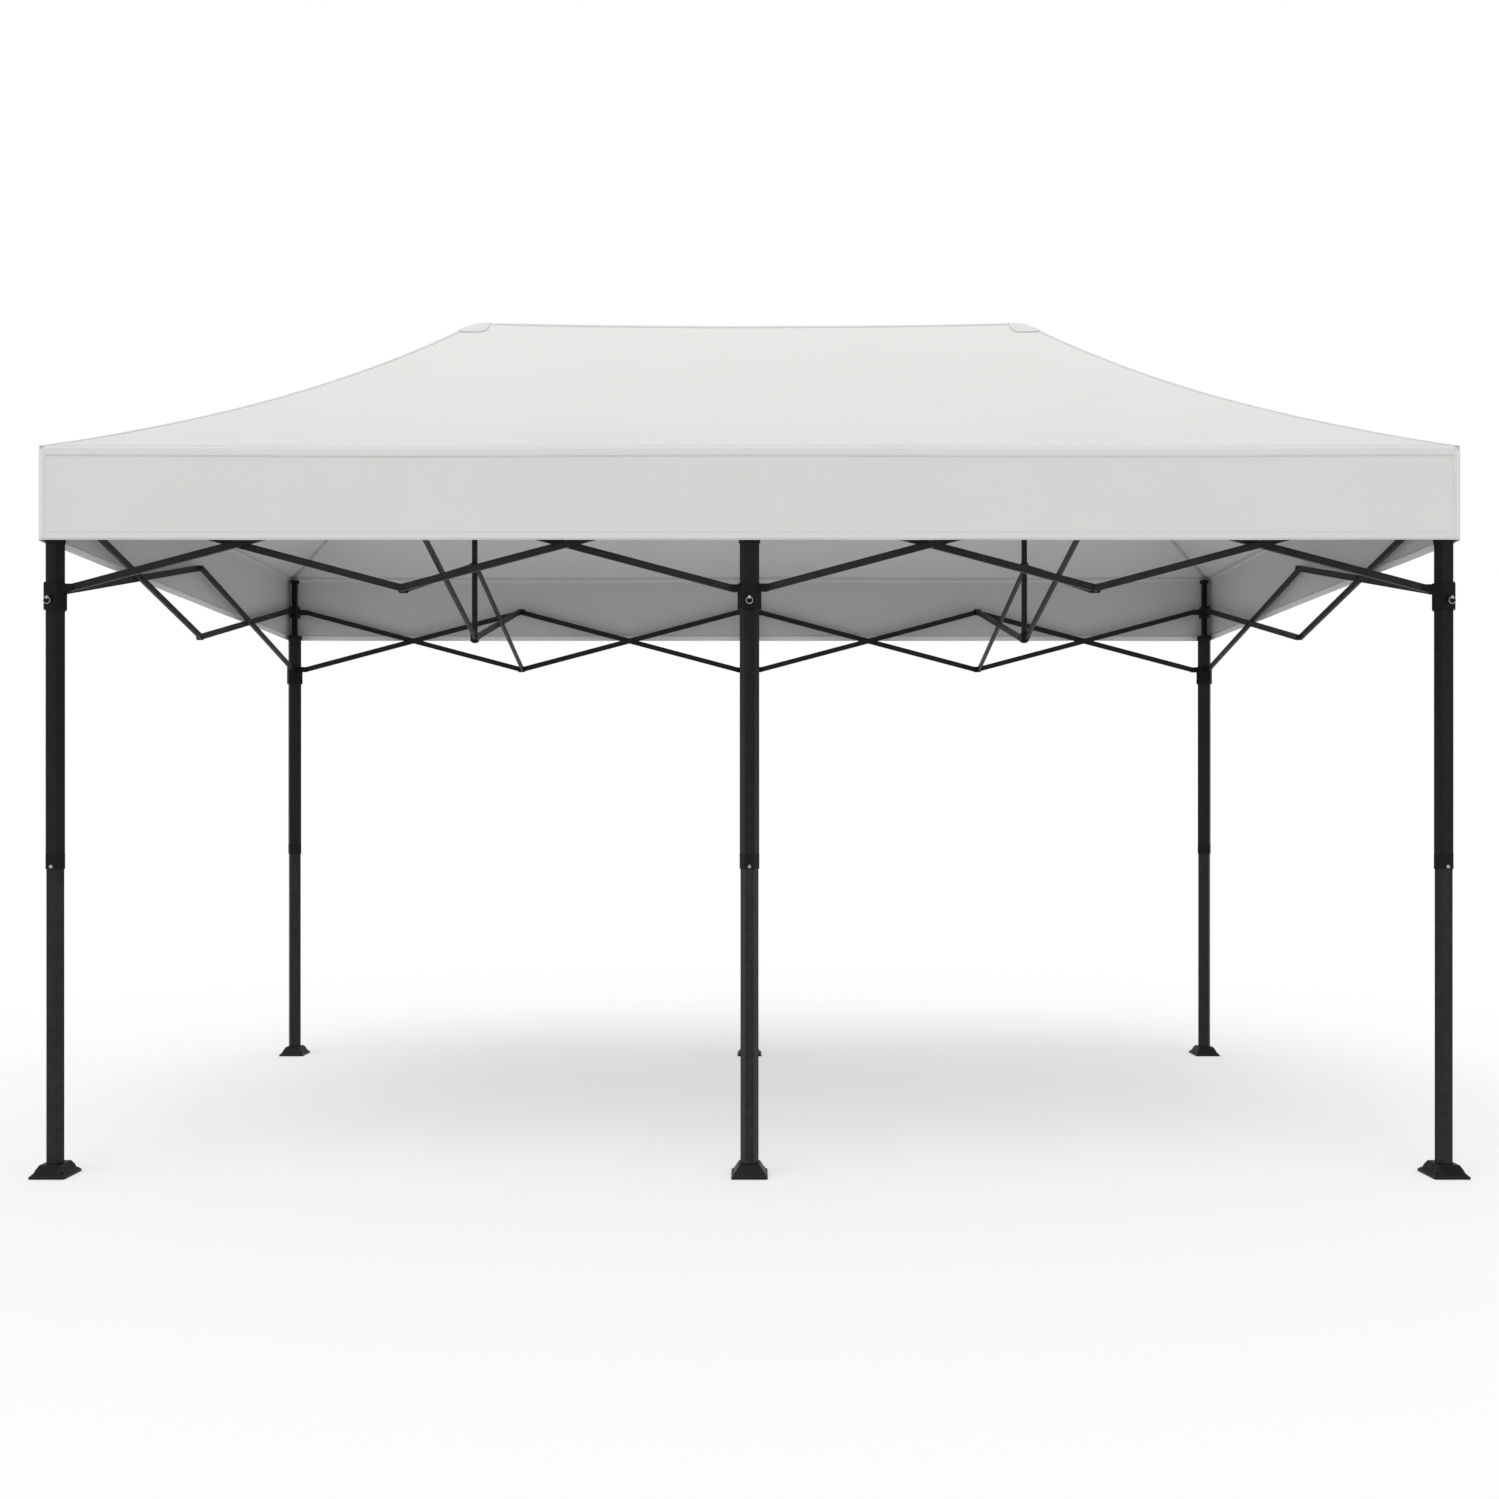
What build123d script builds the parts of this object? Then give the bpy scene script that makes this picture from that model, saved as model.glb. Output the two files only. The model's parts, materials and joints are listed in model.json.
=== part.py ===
"""Six-leg pop-up canopy, 5 m by 2.5 m: telescoping hexagonal legs, scissor trusses on all four sides,
two cross trusses that carry the peak masts, and a hipped fabric cover in four panels.

The origin is on the ground under the middle of the canopy. +X runs along the length, +Y to the back, +Z up.
All lengths are in millimetres.
"""
import os
from math import hypot

from build123d import *

# Layout: legs stand at the ends and the middle of both long sides, and each bay has a mid station.
BAY = 2460.0
HALF_BAY = BAY / 2
HALF_WIDTH = 1230.0
UPPER_PIVOT_Z = 2390.0
TRUSS_RISE = 310.0
LOWER_PIVOT_Z = UPPER_PIVOT_Z - TRUSS_RISE

# Pivot offsets from the leg axis, from the bay bracket's pin and from the mast axis.
LEG_EAR = 62.0
BRACKET_EAR = 32.0
HUB_EAR = 30.0
BAR_SPAN = HALF_BAY - LEG_EAR
BAR_LENGTH = hypot(BAR_SPAN, TRUSS_RISE)

# Scissor bars are flat tubes in two layers, one each side of the truss plane.
BAR_HEIGHT = 25.0
BAR_THICKNESS = 12.0
BAR_WALL = 1.5
LAYER_GAP = 0.5
LAYER = LAYER_GAP + BAR_THICKNESS / 2
BAR_OUTSIDE = LAYER_GAP + BAR_THICKNESS
PIN_RADIUS = 4.0
PIN_HOLE_RADIUS = 4.06
PIN_HEAD_RADIUS = 7.5
PIN_HEAD = 2.5
HEAD_GAP = 0.1

# Fork ears hold one bar between two cheeks.
CHEEK = 3.5
CHEEK_GAP = 0.4
CHEEK_RADIUS = 13.0
OUTER_CHEEK = BAR_OUTSIDE + CHEEK_GAP + CHEEK / 2
INNER_CHEEK = LAYER_GAP - CHEEK_GAP - CHEEK / 2
CHEEK_OUTSIDE = OUTER_CHEEK + CHEEK / 2
CHEEK_INSIDE = INNER_CHEEK - CHEEK / 2

# Legs: a hexagonal outer tube, a hexagonal lower tube that slides in it, and a square post on top.
LEG_FLATS = 60.0
LEG_WALL = 1.8
LEG_BOTTOM = 1085.0
LEG_TOP = 2250.0
LOWER_FLATS = 55.6
LOWER_WALL = 1.8
LOWER_TOP = 1350.0
PLUG_FLATS = 66.0
PLUG_BOTTOM = 2238.0
PLUG_TOP = 2262.0
POST_SIDE = 25.0
POST_WALL = 1.8
POST_TOP = 2548.0
BRACKET_SIDE = 44.0
BRACKET_HEIGHT = 60.0
FIT_GAP = 0.2
CAP_RADIUS = 24.0
CAP_HEIGHT = 16.0

# Sliders run on the outer tubes.
SLIDER_BORE_FLATS = 61.0
SLIDER_FLATS = 73.0
SLIDER_BOTTOM = 2002.0
SLIDER_TOP = 2096.0

# Feet.
FOOT_SIDE = 128.0
FOOT_PLATE = 8.0
SKIRT_BOTTOM_SIDE = 118.0
SKIRT_TOP_SIDE = 74.0
SKIRT_TOP = 44.0
STAKE_SPACING = 100.0
STAKE_RADIUS = 5.0

# Bay brackets tie the front truss to a cross truss.
PLATE = 4.0
PLATE_WIDTH = 36.0
PLATE_HEIGHT = 30.0
PLATE_INSIDE = BAR_OUTSIDE + CHEEK_GAP

# Peak masts, their fixed lower hubs and the collars that slide on them.
MAST_RADIUS = 12.5
MAST_WALL = 2.0
MAST_BOTTOM = 2056.0
MAST_TOP = 3444.0
MAST_CAP_RADIUS = 22.0
MAST_CAP_TOP = 3458.0
HUB_HALF_X = 16.5
HUB_HALF_Y = 17.0
HUB_HEIGHT = 40.0
COLLAR_BORE_RADIUS = 12.9

# Cover: four panels, each a concave slope with its valance.
EAVE_X = 2500.0
EAVE_Y = 1270.0
EAVE_Z = 2570.0
RIDGE_Z = 3487.0
VALANCE_BOTTOM = 2240.0
SLOPE_SAG = 62.0
FABRIC = 3.0
SEAM_GAP = 2.0
APEX_GAP = 6.0

X = Vector(1, 0, 0)
Y = Vector(0, 1, 0)
FALLING, RISING = 1, -1


def save(part, label):
    """Writes one sub-part under its label."""
    part.label = label
    export_step(part, f"parts/{label}.step")


def truss_plane(point, along, normal, depth=0.0):
    """A plane across the truss's normal, at a depth along that normal, with its x axis along the given direction."""
    return Plane(origin=Vector(*point) + normal * depth, x_dir=along, z_dir=normal)


def add_pin(point, normal, low, high, heads=(True, True)):
    """A riveted pivot pin through a point, between two depths along the truss's normal, with a head at each end."""
    shank_low = low - HEAD_GAP
    shank_high = high + HEAD_GAP
    with BuildSketch(truss_plane(point, (0, 0, 1), normal, shank_low)) as shank:
        Circle(PIN_RADIUS)
    extrude(shank.sketch, amount=shank_high - shank_low)
    for wanted, start, sign in ((heads[0], shank_low, -1), (heads[1], shank_high, 1)):
        if wanted:
            with BuildSketch(truss_plane(point, (0, 0, 1), normal, start)) as head:
                Circle(PIN_HEAD_RADIUS)
            extrude(head.sketch, amount=sign * PIN_HEAD)


def add_cheek(point, outward, normal, depth, root):
    """One cheek of a fork ear: a rounded tab around a pivot, reaching back to its root."""
    with BuildSketch(truss_plane(point, outward, normal, depth)) as cheek:
        Circle(CHEEK_RADIUS)
        with Locations((-root / 2, 0)):
            Rectangle(root, 2 * CHEEK_RADIUS)
    extrude(cheek.sketch, amount=CHEEK / 2, both=True)


def add_fork(point, outward, normal, layer, root):
    """The two cheeks of a fork ear for a bar in the given layer."""
    add_cheek(point, outward, normal, layer * OUTER_CHEEK, root)
    add_cheek(point, outward, normal, layer * INNER_CHEEK, root)


def drill_fork(point, outward, normal):
    """The pin hole through a fork ear."""
    with BuildSketch(truss_plane(point, outward, normal)) as hole:
        Circle(PIN_HOLE_RADIUS)
    extrude(hole.sketch, amount=BRACKET_SIDE / 2, both=True, mode=Mode.SUBTRACT)


def add_fork_pin(point, normal, layer):
    """The pin of a fork ear, headed outside both cheeks."""
    ends = sorted((layer * CHEEK_OUTSIDE, layer * CHEEK_INSIDE))
    add_pin(point, normal, ends[0], ends[1])


def make_bar(label, start, end, normal, layer, pins=()):
    """One scissor bar from pivot to pivot. Each pin is a point with the depths it runs between and its heads."""
    start, end = Vector(*start), Vector(*end)
    along = (end - start).normalized()
    plane = truss_plane(start, along, normal, layer * LAYER)
    with BuildPart() as bar:
        with BuildSketch(plane):
            with Locations((BAR_LENGTH / 2, 0)):
                SlotCenterToCenter(BAR_LENGTH, BAR_HEIGHT)
        extrude(amount=BAR_THICKNESS / 2, both=True)
        with BuildSketch(plane):
            with Locations((BAR_LENGTH / 2, 0)):
                SlotCenterToCenter(BAR_LENGTH, BAR_HEIGHT - 2 * BAR_WALL)
        extrude(amount=BAR_THICKNESS / 2 - BAR_WALL, both=True, mode=Mode.SUBTRACT)
        with BuildSketch(plane):
            with Locations((0, 0), (BAR_LENGTH / 2, 0), (BAR_LENGTH, 0)):
                Circle(PIN_HOLE_RADIUS)
        extrude(amount=BAR_THICKNESS, both=True, mode=Mode.SUBTRACT)
        for point, low, high, heads in pins:
            add_pin(point, normal, low, high, heads)
    save(bar.part, label)


def make_unit(side, number, low_start, along, normal, falling_pins=()):
    """One scissor unit: a falling bar and a rising bar that cross at a pin, which the falling bar carries."""
    start = Vector(*low_start)
    end = start + along * BAR_SPAN
    rise = Vector(0, 0, TRUSS_RISE)
    middle = start + along * (BAR_SPAN / 2) + rise * 0.5
    crossing = (middle, -BAR_OUTSIDE, BAR_OUTSIDE, (True, True))
    make_bar(f"{side}_bar_{number}_falling", start + rise, end, normal, FALLING, (crossing, *falling_pins))
    make_bar(f"{side}_bar_{number}_rising", start, end + rise, normal, RISING)


def make_side_pair(side, middle, along, normal, first, bracket=False):
    """The two scissor units between two neighbouring legs. They share both pins at the station between them."""
    low = Vector(middle[0], middle[1], LOWER_PIVOT_Z)
    high = Vector(middle[0], middle[1], UPPER_PIVOT_Z)
    through = PLATE_INSIDE + PLATE - HEAD_GAP if bracket else BAR_OUTSIDE
    low_pin = (low, -BAR_OUTSIDE, through, (True, not bracket))
    high_pin = (high, -BAR_OUTSIDE, BAR_OUTSIDE, (True, True))
    make_unit(side, first, low - along * BAR_SPAN, along, normal, (low_pin,))
    make_unit(side, first + 1, low, along, normal, (high_pin,))


def leg_ears(x, y):
    """The ears of the leg at (x, y): outward direction, truss normal, and the layer of its upper bar."""
    ears = []
    if x < BAY:
        ears.append((X, Y, FALLING))
    if x > -BAY:
        ears.append((-X, Y, RISING))
    if x != 0:
        ears.append((-Y, X, RISING) if y > 0 else (Y, X, FALLING))
    return ears


def make_leg(label, x, y):
    """An outer leg tube with its top plug, square post, fork bracket and rounded corner cap."""
    centre = Vector(x, y, UPPER_PIVOT_Z)
    forks = [(centre + out * LEG_EAR, out, normal, layer) for out, normal, layer in leg_ears(x, y)]
    with BuildPart() as leg:
        with BuildSketch(Plane.XY.offset(LEG_BOTTOM)):
            with Locations((x, y)):
                RegularPolygon(LEG_FLATS / 2, 6, major_radius=False)
                RegularPolygon(LEG_FLATS / 2 - LEG_WALL, 6, major_radius=False, mode=Mode.SUBTRACT)
        extrude(amount=PLUG_BOTTOM - LEG_BOTTOM)
        with BuildSketch(Plane.XY.offset(PLUG_BOTTOM)):
            with Locations((x, y)):
                RegularPolygon(PLUG_FLATS / 2, 6, major_radius=False)
        extrude(amount=PLUG_TOP - PLUG_BOTTOM)
        with BuildSketch(Plane.XY.offset(PLUG_TOP)):
            with Locations((x, y)):
                RectangleRounded(POST_SIDE, POST_SIDE, POST_WALL)
                Rectangle(POST_SIDE - 2 * POST_WALL, POST_SIDE - 2 * POST_WALL, mode=Mode.SUBTRACT)
        extrude(amount=POST_TOP - PLUG_TOP)
    with BuildPart() as bracket:
        with BuildSketch(Plane.XY.offset(UPPER_PIVOT_Z - BRACKET_HEIGHT / 2)):
            with Locations((x, y)):
                RectangleRounded(BRACKET_SIDE, BRACKET_SIDE, CHEEK)
        extrude(amount=BRACKET_HEIGHT)
        for point, out, normal, layer in forks:
            add_fork(point, out, normal, layer, LEG_EAR - POST_SIDE / 2)
        bore = POST_SIDE + 2 * FIT_GAP
        with BuildSketch(Plane.XY.offset(UPPER_PIVOT_Z - BRACKET_HEIGHT)):
            with Locations((x, y)):
                Rectangle(bore, bore)
        extrude(amount=2 * BRACKET_HEIGHT, mode=Mode.SUBTRACT)
        for point, out, normal, layer in forks:
            drill_fork(point, out, normal)
        for point, out, normal, layer in forks:
            add_fork_pin(point, normal, layer)
    with BuildPart() as cap:
        with BuildSketch(Plane.XY.offset(POST_TOP + FIT_GAP)):
            with Locations((x, y)):
                Circle(CAP_RADIUS)
        extrude(amount=CAP_HEIGHT)
        fillet(cap.edges().group_by(Axis.Z)[-1], CAP_HEIGHT * 0.6)
    save(Compound(children=[*leg.part.solids(), *bracket.part.solids(), *cap.part.solids()]), label)


def make_slider(label, x, y):
    """A hexagonal slider with a fork ear for the lower bar of each truss on this leg."""
    centre = Vector(x, y, LOWER_PIVOT_Z)
    forks = [(centre + out * LEG_EAR, out, normal, -layer) for out, normal, layer in leg_ears(x, y)]
    with BuildPart() as slider:
        with BuildSketch(Plane.XY.offset(SLIDER_BOTTOM)):
            with Locations((x, y)):
                RegularPolygon(SLIDER_FLATS / 2, 6, major_radius=False)
        extrude(amount=SLIDER_TOP - SLIDER_BOTTOM)
        chamfer(slider.edges().group_by(Axis.Z)[-1], 2)
        chamfer(slider.edges().group_by(Axis.Z)[0], 2)
        for point, out, normal, layer in forks:
            add_fork(point, out, normal, layer, LEG_EAR - LEG_FLATS / 2)
        with BuildSketch(Plane.XY.offset(SLIDER_BOTTOM - FIT_GAP)):
            with Locations((x, y)):
                RegularPolygon(SLIDER_BORE_FLATS / 2, 6, major_radius=False)
        extrude(amount=SLIDER_TOP - SLIDER_BOTTOM + 2 * FIT_GAP, mode=Mode.SUBTRACT)
        for point, out, normal, layer in forks:
            drill_fork(point, out, normal)
        for point, out, normal, layer in forks:
            add_fork_pin(point, normal, layer)
    save(slider.part, label)


def make_lower_leg(label, x, y):
    """A lower leg tube standing in a square foot with four stake holes."""
    with BuildPart() as tube:
        with BuildSketch(Plane.XY.offset(FOOT_PLATE + FIT_GAP)):
            with Locations((x, y)):
                RegularPolygon(LOWER_FLATS / 2, 6, major_radius=False)
                RegularPolygon(LOWER_FLATS / 2 - LOWER_WALL, 6, major_radius=False, mode=Mode.SUBTRACT)
        extrude(amount=LOWER_TOP - FOOT_PLATE)
    with BuildPart() as foot:
        with BuildSketch(Plane.XY):
            with Locations((x, y)):
                RectangleRounded(FOOT_SIDE, FOOT_SIDE, 8)
        extrude(amount=FOOT_PLATE)
        with BuildSketch(Plane.XY.offset(FOOT_PLATE)):
            with Locations((x, y)):
                Rectangle(SKIRT_BOTTOM_SIDE, SKIRT_BOTTOM_SIDE)
        with BuildSketch(Plane.XY.offset(SKIRT_TOP)):
            with Locations((x, y)):
                Rectangle(SKIRT_TOP_SIDE, SKIRT_TOP_SIDE)
        loft()
        with BuildSketch(Plane.XY.offset(FOOT_PLATE)):
            with Locations((x, y)):
                RegularPolygon(LOWER_FLATS / 2 + FIT_GAP, 6, major_radius=False)
        extrude(amount=SKIRT_TOP, mode=Mode.SUBTRACT)
        with BuildSketch(Plane.XY):
            with Locations((x, y)):
                with GridLocations(STAKE_SPACING, STAKE_SPACING, 2, 2):
                    Circle(STAKE_RADIUS)
        extrude(amount=SKIRT_TOP, mode=Mode.SUBTRACT)
    save(Compound(children=[*tube.part.solids(), *foot.part.solids()]), label)


def make_bay_bracket(label, x):
    """A plate on the front truss's lower mid pin, with a fork for the cross truss's first rising bar."""
    pin = Vector(x, -HALF_WIDTH, LOWER_PIVOT_Z)
    pivot = pin + Y * BRACKET_EAR
    with BuildPart() as bracket:
        with BuildSketch(truss_plane(pin, X, Y, PLATE_INSIDE)):
            RectangleRounded(PLATE_WIDTH, PLATE_HEIGHT, 6)
        extrude(amount=PLATE)
        add_fork(pivot, Y, X, RISING, BRACKET_EAR - PLATE_INSIDE - PLATE / 2)
        with BuildSketch(truss_plane(pin, X, Y)):
            Circle(PIN_HOLE_RADIUS)
        extrude(amount=PLATE_INSIDE + PLATE, mode=Mode.SUBTRACT)
        drill_fork(pivot, Y, X)
        add_fork_pin(pivot, X, RISING)
    save(bracket.part, label)


def make_hub_block(centre, layers, bore_radius):
    """A block on a mast with a fork to the front and one to the back, for bars in the given two layers."""
    forks = [(centre - Y * HUB_EAR, -Y, layers[0]), (centre + Y * HUB_EAR, Y, layers[1])]
    with BuildPart() as block:
        with BuildSketch(Plane(origin=centre - Vector(0, 0, HUB_HEIGHT / 2))):
            RectangleRounded(2 * HUB_HALF_X, 2 * HUB_HALF_Y, 3)
        extrude(amount=HUB_HEIGHT)
        for point, out, layer in forks:
            add_fork(point, out, X, layer, HUB_EAR - HUB_HALF_Y + 2)
        with BuildSketch(Plane(origin=centre - Vector(0, 0, HUB_HEIGHT))):
            Circle(bore_radius)
        extrude(amount=2 * HUB_HEIGHT, mode=Mode.SUBTRACT)
        for point, out, layer in forks:
            drill_fork(point, out, X)
        for point, out, layer in forks:
            add_fork_pin(point, X, layer)
    return block.part.solids()


def make_mast(label, x):
    """A peak mast with its lower hub and the mushroom cap that the ridge rests on."""
    with BuildPart() as tube:
        with BuildSketch(Plane.XY.offset(MAST_BOTTOM)):
            with Locations((x, 0)):
                Circle(MAST_RADIUS)
                Circle(MAST_RADIUS - MAST_WALL, mode=Mode.SUBTRACT)
        extrude(amount=MAST_TOP - MAST_BOTTOM - FIT_GAP)
    with BuildPart() as cap:
        with BuildSketch(Plane.XY.offset(MAST_TOP)):
            with Locations((x, 0)):
                Circle(MAST_CAP_RADIUS)
        extrude(amount=MAST_CAP_TOP - MAST_TOP)
        fillet(cap.edges().group_by(Axis.Z)[-1], (MAST_CAP_TOP - MAST_TOP) * 0.6)
    hub = make_hub_block(Vector(x, 0, LOWER_PIVOT_Z), (FALLING, RISING), MAST_RADIUS + FIT_GAP)
    save(Compound(children=[*tube.part.solids(), *cap.part.solids(), *hub]), label)


def make_mast_collar(label, x):
    """The upper hub of a cross truss, which slides on its mast."""
    block = make_hub_block(Vector(x, 0, UPPER_PIVOT_Z), (RISING, FALLING), COLLAR_BORE_RADIUS)
    save(Compound(children=list(block)), label)


def make_cover_panel(label, section, run, extent, trim):
    """A slope with its valance: the concave section is swept along the eave and trimmed at the hips."""
    half = FABRIC / 2
    with BuildPart() as panel:
        with BuildSketch(section):
            with BuildLine():
                outside = SagittaArc((run + half, EAVE_Z), (SEAM_GAP, RIDGE_Z + half), SLOPE_SAG)
                inside = SagittaArc((run - half, EAVE_Z - half), (SEAM_GAP, RIDGE_Z - half), SLOPE_SAG)
                Line(outside @ 1, inside @ 1)
                Polyline(
                    inside @ 0,
                    (run - half, VALANCE_BOTTOM),
                    (run + half, VALANCE_BOTTOM),
                    outside @ 0,
                )
            make_face()
        extrude(amount=extent, both=True)
        with BuildSketch(Plane.XY.offset(VALANCE_BOTTOM)):
            Polygon(*trim, align=None)
        extrude(amount=RIDGE_Z + FABRIC - VALANCE_BOTTOM, mode=Mode.INTERSECT)
    save(panel.part, label)


def make_covers():
    """Front and back trapezoids between the two peaks, and a triangle at each end."""
    over = EAVE_Y + FABRIC
    for label, sign in (("cover_front", -1), ("cover_back", 1)):
        section = Plane(origin=(0, 0, 0), x_dir=(0, sign, 0), z_dir=(sign, 0, 0))
        near = HALF_BAY - SEAM_GAP
        far = HALF_BAY + over - SEAM_GAP
        trim = [(-near, 0), (near, 0), (far, sign * over), (-far, sign * over)]
        make_cover_panel(label, section, EAVE_Y, EAVE_X, trim)
    for label, sign in (("cover_left", -1), ("cover_right", 1)):
        section = Plane(origin=(sign * HALF_BAY, 0, 0), x_dir=(sign, 0, 0), z_dir=(0, -sign, 0))
        near_x = sign * (HALF_BAY + APEX_GAP)
        far_x = sign * (HALF_BAY + over)
        near = APEX_GAP - SEAM_GAP
        far = over - SEAM_GAP
        trim = [(near_x, -near), (near_x, near), (far_x, far), (far_x, -far)]
        make_cover_panel(label, section, EAVE_X - HALF_BAY, EAVE_Y, trim)


def main():
    """Builds and writes every sub-part."""
    os.makedirs("parts", exist_ok=True)
    for row, y in (("front", -HALF_WIDTH), ("back", HALF_WIDTH)):
        for column, x in (("left", -BAY), ("middle", 0.0), ("right", BAY)):
            make_leg(f"leg_{row}_{column}", x, y)
            make_slider(f"slider_{row}_{column}", x, y)
            make_lower_leg(f"lower_leg_{row}_{column}", x, y)
        make_side_pair(row, (-HALF_BAY, y), X, Y, 1, bracket=row == "front")
        make_side_pair(row, (HALF_BAY, y), X, Y, 3, bracket=row == "front")
    for side, x in (("left", -BAY), ("right", BAY)):
        make_side_pair(side, (x, 0.0), Y, X, 1)
    for side, x in (("left", -HALF_BAY), ("right", HALF_BAY)):
        start = -HALF_WIDTH + BRACKET_EAR
        make_unit(f"cross_{side}", 1, (x, start, LOWER_PIVOT_Z), Y, X)
        make_unit(f"cross_{side}", 2, (x, HUB_EAR, LOWER_PIVOT_Z), Y, X)
        make_bay_bracket(f"bay_bracket_{side}", x)
        make_mast(f"peak_mast_{side}", x)
        make_mast_collar(f"mast_collar_{side}", x)
    make_covers()


main()
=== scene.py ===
"""Looks of a six-leg pop-up canopy: white fabric cover in sewn panels over a black folding frame.

All lengths are in metres, in the frame's own axes: +X along the length, +Y to the back, +Z up.
"""
import json
import math

import bmesh
import bpy
from mathutils import Matrix, Vector, noise


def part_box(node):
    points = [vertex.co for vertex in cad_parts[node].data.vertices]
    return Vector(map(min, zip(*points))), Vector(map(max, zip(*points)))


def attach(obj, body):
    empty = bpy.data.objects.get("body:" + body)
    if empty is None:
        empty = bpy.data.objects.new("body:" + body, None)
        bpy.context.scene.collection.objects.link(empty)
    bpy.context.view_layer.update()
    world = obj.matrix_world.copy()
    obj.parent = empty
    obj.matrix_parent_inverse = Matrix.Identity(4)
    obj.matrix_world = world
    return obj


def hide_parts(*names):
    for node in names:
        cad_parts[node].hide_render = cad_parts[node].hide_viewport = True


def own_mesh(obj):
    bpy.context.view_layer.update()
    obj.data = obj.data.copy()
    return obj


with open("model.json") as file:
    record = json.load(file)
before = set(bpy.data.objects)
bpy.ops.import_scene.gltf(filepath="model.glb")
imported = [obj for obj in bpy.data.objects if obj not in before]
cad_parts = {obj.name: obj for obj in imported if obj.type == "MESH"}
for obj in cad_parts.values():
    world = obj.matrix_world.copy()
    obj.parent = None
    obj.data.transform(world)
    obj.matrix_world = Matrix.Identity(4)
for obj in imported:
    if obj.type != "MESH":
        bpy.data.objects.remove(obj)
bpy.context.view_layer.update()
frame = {"nodes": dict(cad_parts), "record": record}

COVER_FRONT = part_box("cover_front")
COVER_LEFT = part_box("cover_left")


def middle(node):
    """The middle of a CAD node's box."""
    low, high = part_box(node)
    return (low + high) / 2


# The cover's outline, read from the CAD panels.
EAVE_X = -COVER_LEFT[0][0]
EAVE_Y = -COVER_FRONT[0][1]
HEM_Z = COVER_FRONT[0][2]
RIDGE_Z = COVER_FRONT[1][2]
VALANCE = 0.330
EAVE_Z = HEM_Z + VALANCE
SLOPE_SAG = 0.062
CLOTH = 0.0012

# Stations of the frame.
MAST_X = -middle("peak_mast_left").x
LEG_X = -middle("lower_leg_front_left").x
LEG_Y = -middle("lower_leg_front_left").y
UPPER_Z = middle("mast_collar_left").z
LOWER_Z = middle("bay_bracket_left").z
LEGS = [(f"{row}_{column}", x, y) for row, y in (("front", -LEG_Y), ("back", LEG_Y))
        for column, x in (("left", -LEG_X), ("middle", 0.0), ("right", LEG_X))]

X = Vector((1, 0, 0))
Z = Vector((0, 0, 1))


# ---------------------------------------------------------------- materials
def new_material(name):
    """An empty node material and its node tree helpers."""
    material = bpy.data.materials.new(name)
    material.use_nodes = True
    tree = material.node_tree
    tree.nodes.clear()
    return material, tree


def add_node(tree, kind, inputs=None, **settings):
    """A shader node with its settings and its input values or links."""
    node = tree.nodes.new(kind)
    for key, value in settings.items():
        setattr(node, key, value)
    for key, value in (inputs or {}).items():
        if isinstance(value, bpy.types.NodeSocket):
            tree.links.new(value, node.inputs[key])
        else:
            node.inputs[key].default_value = value
    return node


def tone(tree, factor, dark, light):
    """A colour between two, by a factor."""
    mix = add_node(tree, "ShaderNodeMix", data_type="RGBA")
    tree.links.new(factor, mix.inputs["Factor"])
    mix.inputs["A"].default_value = (*dark, 1)
    mix.inputs["B"].default_value = (*light, 1)
    return mix.outputs["Result"]


# How much painted shade greys the cloth at the eave compared with the ridge: matched to the low roof's tone
# in the photo.
EAVE_PAINTED_SHADE = 0.09


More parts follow.
